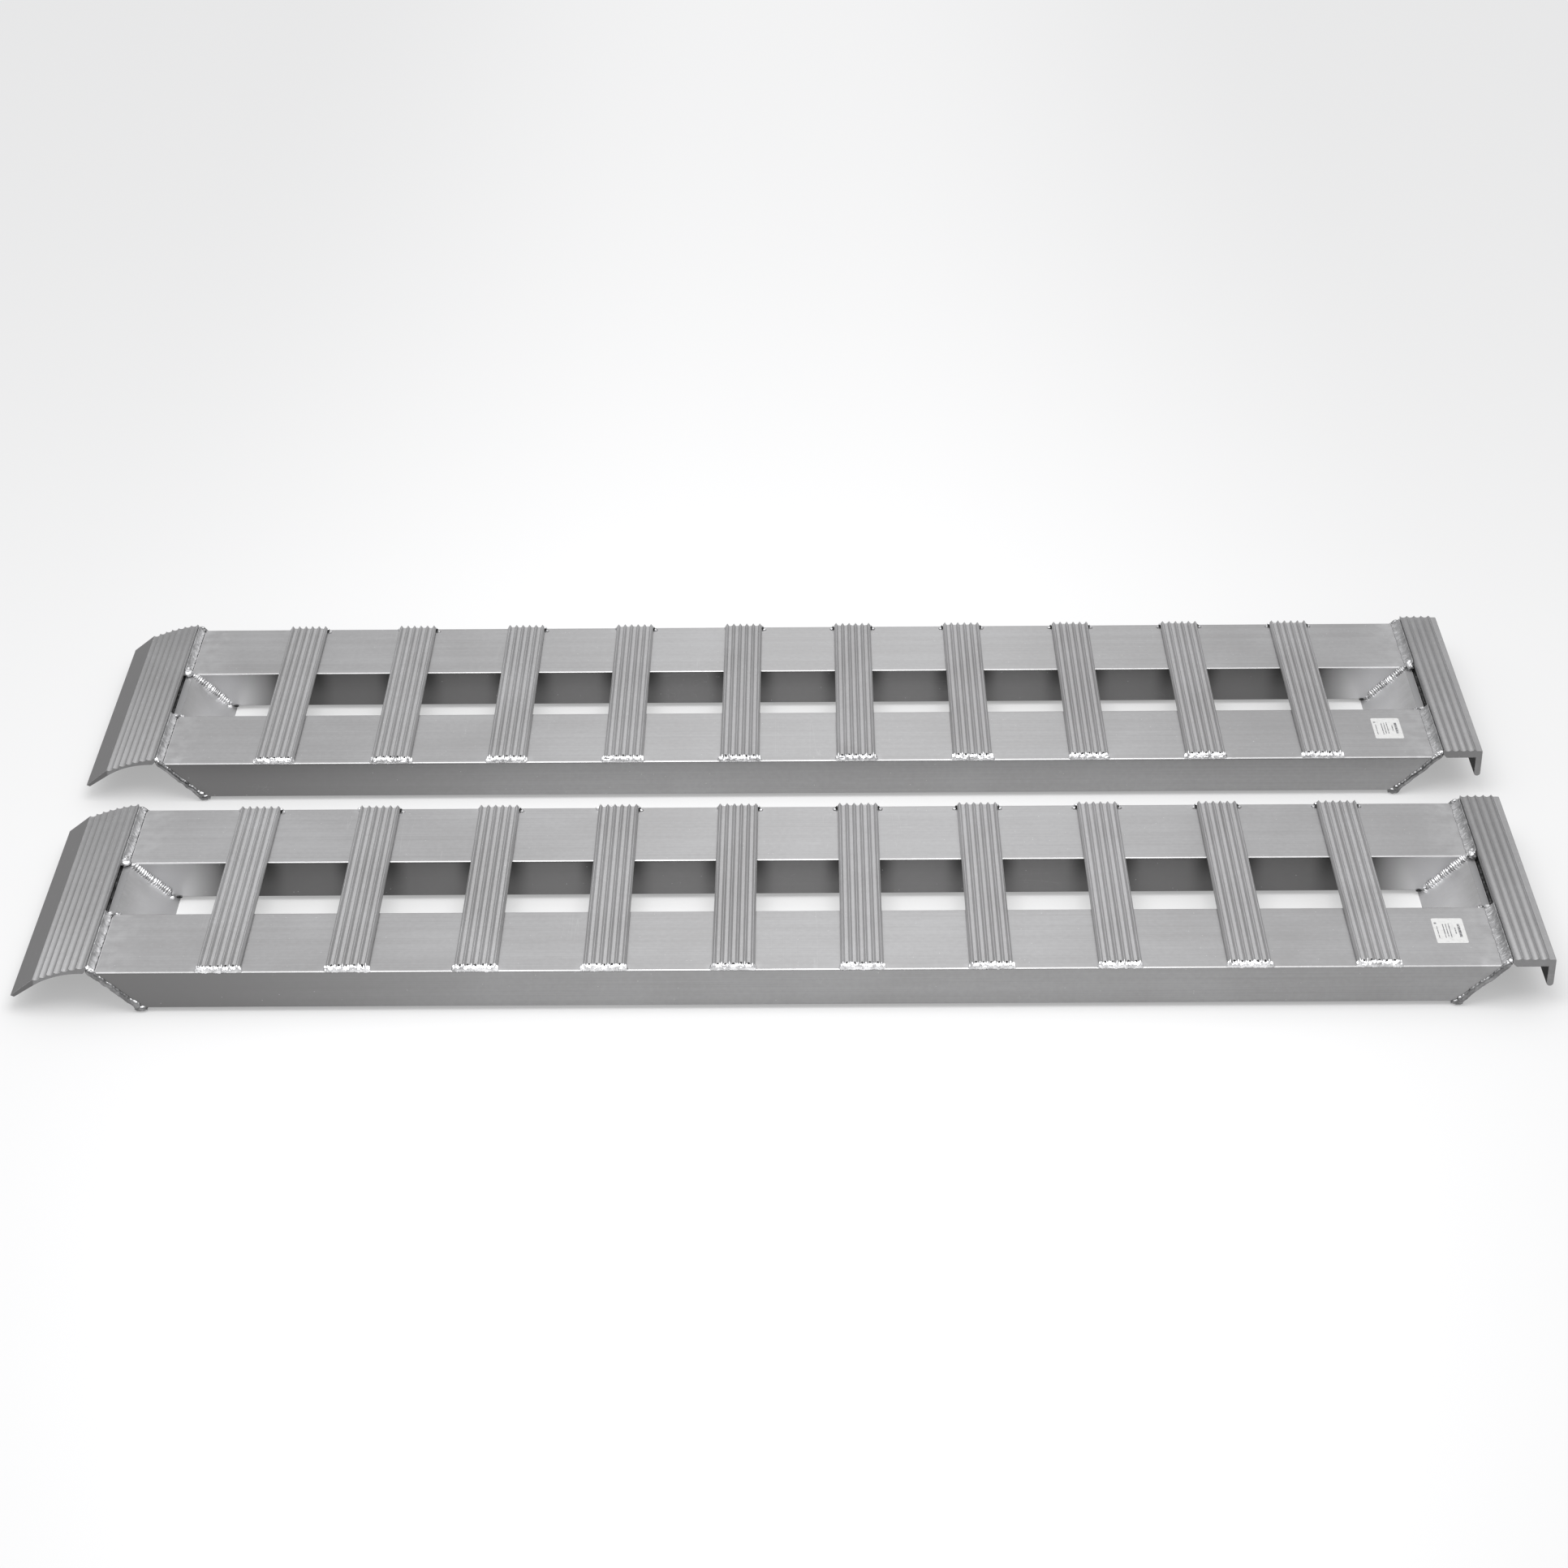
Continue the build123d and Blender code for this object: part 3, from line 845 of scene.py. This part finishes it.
# ---- welds between the rail tops and the foot or the hook ---------------------------
# A fillet's section is drawn from the rail's top end: its x runs outwards, its y upwards.
# gap is from there to the lip's back face, toe is where the fillet starts on the rail, and
# ripple is the height of its ripples in millimetres.
FILLETS = {
    GROUND: SimpleNamespace(
        word="foot", gap=10.0 * MM, height=8.0 * MM, toe=0.6 * MM, ripple=0.20, look=FOOT_FILLET
    ),
    DECK: SimpleNamespace(
        word="hook", gap=11.0 * MM, height=9.0 * MM, toe=-1.5 * MM, ripple=0.11, look=HOOK_FILLET
    ),
}
FILLET_STEPS = 260
FILLET_POINTS = 15
FILLET_LEAN = Vector((-0.6, 0.8))  # the way its ripples and lumps stand out


def fillet_section(kind, u, seed):
    """Section of a fillet at u millimetres: its rippled slope, then its hidden sides."""
    ripple_pitch = 2.3
    toe = kind.toe + wave(u / 5.0, seed) * 0.9 * MM
    crest = kind.height + wave(u / 7.0, seed + 2) * 0.6 * MM
    foot = Vector((toe, -0.05 * MM))
    lean = Vector((kind.gap * 0.50, kind.height * 0.26))
    peak = Vector((kind.gap - 1.3 * MM, crest))
    ring = []
    for k in range(FILLET_POINTS):
        t = k / (FILLET_POINTS - 1)
        chevron = (2 * t - 1) ** 2 * 1.4
        phase = (u + chevron) / ripple_pitch + 0.3 * wave(u / 13.0, seed)
        lumps = 0.45 * wave(u / 3.6, t * 2.5, seed + 6)
        fade = math.sin(math.pi * min(1.0, t * 3) / 2)
        growth = (kind.ripple * math.sin(2 * math.pi * phase) + lumps) * fade * MM
        ring.append(quad_curve(foot, lean, peak, t) + FILLET_LEAN * growth)
    ring.append(Vector((kind.gap - 0.6 * MM, crest - 2.2 * MM)))
    ring.append(Vector((kind.gap + 0.4 * MM, crest - 2.8 * MM)))
    ring.append(Vector((kind.gap + 0.4 * MM, 0.0)))
    ring.append(millimetres(4.0, -1.2))
    ring.append(Vector((toe + 1.2 * MM, -0.9 * MM)))
    return ring


def fillet_rings(ramp, rail, end, seed):
    """Rings, from one side of a rail to the other, of the fillet on its top."""
    inset = 1.0 * MM
    end_length = 4.0 * MM
    end_size = 0.35
    kind = FILLETS[end]
    low, high = rail
    start, stop = low.y + inset, high.y - inset
    hub = Vector((kind.gap * 0.6, 0.0))
    rings = []
    for i in range(FILLET_STEPS + 1):
        y = start + (stop - start) * i / FILLET_STEPS
        size = end_size + (1 - end_size) * swelling(min(y - start, stop - y), end_length)
        drawn = [hub + (p - hub) * size for p in fillet_section(kind, y / MM, seed)]
        rings.append([Vector((ramp.ends[end] + end * p.x, y, ramp.top + p.y)) for p in drawn])
    return rings


def build_end_welds(ramp, end):
    """Fillets of a foot or a hook on both rails, and the root bead along its end plate, near-black as painted
    shade in the slot.
    """
    root_drop = 6.0 * MM
    root_inset = 12.0 * MM
    kind = FILLETS[end]
    bm = bmesh.new()
    for number, side in enumerate((NEAR, FAR)):
        seed = 13 * number + 3 * end + ramp_seed(ramp, 60)
        skin(bm, fillet_rings(ramp, ramp.rails[side], end, seed), kind.look)
    x = ramp.ends[end] + end * (kind.gap + 0.2 * MM)
    z = ramp.top - root_drop
    start = Vector((x, ramp.rails[NEAR][0].y + root_inset, z))
    stop = Vector((x, ramp.rails[FAR][1].y - root_inset, z))
    across = Vector((end * 0.8, 0, 0.6))
    out = Vector((end * 0.6, 0, -0.8))
    bead(bm, start, stop, across, out, ROOT_BEAD, 40 + end)
    finish_welds(bm, ramp, kind.word)


# ---- rating label -------------------------------------------------------------------
LABEL_CORNER = 2.5 * MM
LABEL_CORNER_POINTS = 13


def label_ring(ramp, share, thickness):
    """Rounded outline of the label, shrunk to a share of its size, and a little wavy."""
    wave_length = 9 * MM
    low, high = ramp.label
    centre = (low + high) / 2
    half = (high - low) / 2
    ring = []
    for quadrant in range(4):
        sx = 1 if quadrant in (0, 3) else -1
        sy = 1 if quadrant in (0, 1) else -1
        for k in range(LABEL_CORNER_POINTS):
            angle = math.pi / 2 * (quadrant + k / LABEL_CORNER_POINTS)
            x = sx * (half.x - LABEL_CORNER) + LABEL_CORNER * math.cos(angle)
            y = sy * (half.y - LABEL_CORNER) + LABEL_CORNER * math.sin(angle)
            lift = abs(0.10 * MM * wave(x / wave_length, y / wave_length, share))
            place = (centre.x + x * share, centre.y + y * share, low.z + thickness + lift * share)
            ring.append(Vector(place))
    return ring


def build_label(ramp):
    """Thin rounded sheet that lies a little unevenly, its corners just lifting."""
    thickness = ramp.label[1].z - ramp.label[0].z
    upper = [label_ring(ramp, share, thickness) for share in (0.04, 0.3, 0.6, 0.85, 0.95, 0.99)]
    rim = [label_ring(ramp, 1.0, thickness * 0.6), label_ring(ramp, 1.0, 0.0)]
    lower = [label_ring(ramp, share, 0.0) for share in (0.6, 0.04)]
    bm = bmesh.new()
    skin(bm, upper + rim + lower)
    name = f"{ramp.name}_rating_label_sheet"
    finish_piece(bm, name, [looks["label"]], ramp, f"{ramp.name}_rating_label")


# Printed bars in place of small print, in millimetres from the label's middle: the place of
# the bar's middle along and across the ramp, then half its size along and across.
LABEL_BARS = [
    (-14.2, -3.0, 0.5, 13.0),
    (-6.5, -1.0, 0.6, 15.0),
    (-3.0, 0.0, 0.6, 14.0),
    (0.5, 0.5, 0.6, 15.0),
    (7.0, 0.0, 0.7, 7.0),
    (12.0, 0.0, 1.6, 14.0),
    (-15.0, 16.0, 1.4, 1.6),
]
PAPER = (0.40, 0.40, 0.395, 1)
DUSTY_PAPER = (0.35, 0.35, 0.345, 1)
INK = (0.05, 0.05, 0.055, 1)


def label_ink(s):
    """1 on the printed bars of both ramps' labels, broken up like small print."""
    soft_x, soft_y = 0.25, 0.3
    low, high = first.label
    centre = (low + high) / 2
    x, y, _ = s.axes()
    along = s.maths("SUBTRACT", x, centre.x)
    ramp_y = s.times(s.maths("SIGN", y), first.centre_y)
    across = s.maths("SUBTRACT", s.maths("SUBTRACT", y, ramp_y), centre.y - first.centre_y)
    ink = 0.0
    for bar_x, bar_y, half_x, half_y in LABEL_BARS:
        off_x = s.apart(along, bar_x * MM)
        off_y = s.apart(across, bar_y * MM)
        inside_x = s.between(off_x, (half_x + soft_x) * MM, (half_x - soft_x) * MM)
        inside_y = s.between(off_y, (half_y + soft_y) * MM, (half_y - soft_y) * MM)
        ink = s.maths("MAXIMUM", ink, s.times(inside_x, inside_y))
    breaks = s.between(s.lines((300, 420, 1), 2.0), 0.42, 0.5)
    return s.times(ink, s.blend(breaks, 0.5, 0.5))


def label_look():
    """White vinyl, a little dusty, with plain grey bars."""
    s = Surface("label_vinyl_looks")
    dust = s.between(s.grain(cells=260.0, detail=4.0), 0.45, 0.75)
    colour = s.mix(s.times(label_ink(s), 0.95), s.mix(dust, PAPER, DUSTY_PAPER), INK)
    rough = s.blend(s.grain(cells=180.0), 0.2, 0.32)
    normal = s.bump(s.grain(cells=500.0), 0.02 * MM)
    return s.finish(Base_Color=colour, Roughness=rough, Normal=normal)


looks["label"] = label_look()


# ---- studio --------------------------------------------------------------------------
FLOOR_HALF_SIZE = 30.0
# The floor's middle is painted paler than its sides, as a pool of light.
FLOOR_MIDDLE = (0.34, 0.34, 0.34, 1)
FLOOR_SIDES = (0.29, 0.29, 0.29, 1)
FLOOR_GLOW = 0.36
CAMERA_LENS = 74.53  # millimetres, on a 36 mm wide sensor
CAMERA_PLACE = (0.0367, -3.5917, 2.2249)
CAMERA_TURN = math.radians(0.534)  # about Z
CAMERA_DOWN = math.radians(31.135)  # below level
CAMERA_ROLL = math.radians(-0.598)
SKY = [(0.0, 0.3), (0.5, 0.35), (0.60, 0.6), (0.75, 1.05), (0.86, 1.6), (1.0, 2.0)]  # height, grey


def floor_look():
    """Matt white paper with a glow of its own, a little darker to the sides: a painted pool of light in its
    middle.
    """
    s = Surface("floor_looks")
    x, _, _ = s.axes()
    sides = s.between(s.maths("ABSOLUTE", x), 0.1, 1.1)
    # Painted pool of light: the floor's middle paler than its sides.
    painted_light_pool = s.mix(sides, FLOOR_MIDDLE, FLOOR_SIDES)
    return s.finish(
        Base_Color=painted_light_pool,
        Emission_Color=(1, 1, 1, 1),
        Emission_Strength=FLOOR_GLOW,
        Roughness=0.95,
        Specular_IOR_Level=0.0,
    )


def make_floor():
    """Wide floor that the ramps stand on."""
    bm = bmesh.new()
    bmesh.ops.create_grid(bm, x_segments=8, y_segments=8, size=FLOOR_HALF_SIZE)
    mesh = bpy.data.meshes.new("studio_floor")
    bm.to_mesh(mesh)
    bm.free()
    mesh.materials.append(floor_look())
    floor = bpy.data.objects.new("studio_floor", mesh)
    floor.location.z = cad_box[0].z
    bpy.context.scene.collection.objects.link(floor)


def make_softbox(name, place, target, size, power):
    """Rectangular light that shines from place towards target and isn't seen itself."""
    light = bpy.data.lights.new(name, "AREA")
    light.shape = "RECTANGLE"
    light.size, light.size_y = size
    light.energy = power
    lamp = bpy.data.objects.new(name, light)
    lamp.location = place
    lamp.rotation_mode = "QUATERNION"
    lamp.rotation_quaternion = (Vector(target) - Vector(place)).to_track_quat("-Z", "Y")
    lamp.visible_camera = False
    bpy.context.scene.collection.objects.link(lamp)


def make_world():
    """Pale room, dim below the horizon and bright overhead.

    SKY lists brightness by height, from 0 straight down over 0.5 at the horizon to 1."""
    world = bpy.data.worlds.new("studio")
    world.use_nodes = True
    tree = world.node_tree
    place = tree.nodes.new("ShaderNodeTexCoord")
    split = tree.nodes.new("ShaderNodeSeparateXYZ")
    shades = tree.nodes.new("ShaderNodeValToRGB")
    tree.links.new(place.outputs["Generated"], split.inputs[0])
    height = tree.nodes.new("ShaderNodeMapRange")
    height.inputs["From Min"].default_value = -1.0
    tree.links.new(split.outputs["Z"], height.inputs["Value"])
    tree.links.new(height.outputs[0], shades.inputs[0])
    elements = shades.color_ramp.elements
    while len(elements) < len(SKY):
        elements.new(0.5)
    for element, (at, value) in zip(elements, SKY):
        element.position = at
        element.color = grey(value)
    background = tree.nodes["Background"]
    tree.links.new(shades.outputs[0], background.inputs[0])
    bpy.context.scene.world = world


def make_camera():
    """Camera above the near side, looking down across both ramps."""
    data = bpy.data.cameras.new("camera")
    data.lens = CAMERA_LENS
    data.sensor_width = 36.0
    data.clip_end = 200.0
    camera = bpy.data.objects.new("camera", data)
    turn = Matrix.Rotation(CAMERA_TURN, 4, "Z")
    tilt = Matrix.Rotation(math.pi / 2 - CAMERA_DOWN, 4, "X")
    roll = Matrix.Rotation(CAMERA_ROLL, 4, "Z")
    camera.matrix_world = Matrix.Translation(CAMERA_PLACE) @ turn @ tilt @ roll
    bpy.context.scene.collection.objects.link(camera)
    bpy.context.scene.camera = camera


# ---- build -----------------------------------------------------------------------------
make_camera()
make_world()
make_floor()
make_softbox("overhead_softbox", (-0.05, -0.7, 2.2), target=(-0.05, -0.1, 0), size=(1.7, 1.7), power=45.0)
make_softbox("rear_softbox", (0.1, 4.2, 2.6), target=(0, 0, 0), size=(1.5, 2.4), power=8.0)
bpy.context.scene.view_settings.view_transform = "Standard"

for name, node in nodes.items():
    node.data.materials.clear()
    node.data.materials.append(node_look(name))
    if "rail" not in name:
        soften_edges(node)
for ramp in ramps:
    build_tread_welds(ramp)
    build_seam_welds(ramp)
    build_end_welds(ramp, GROUND)
    build_end_welds(ramp, DECK)
    build_label(ramp)
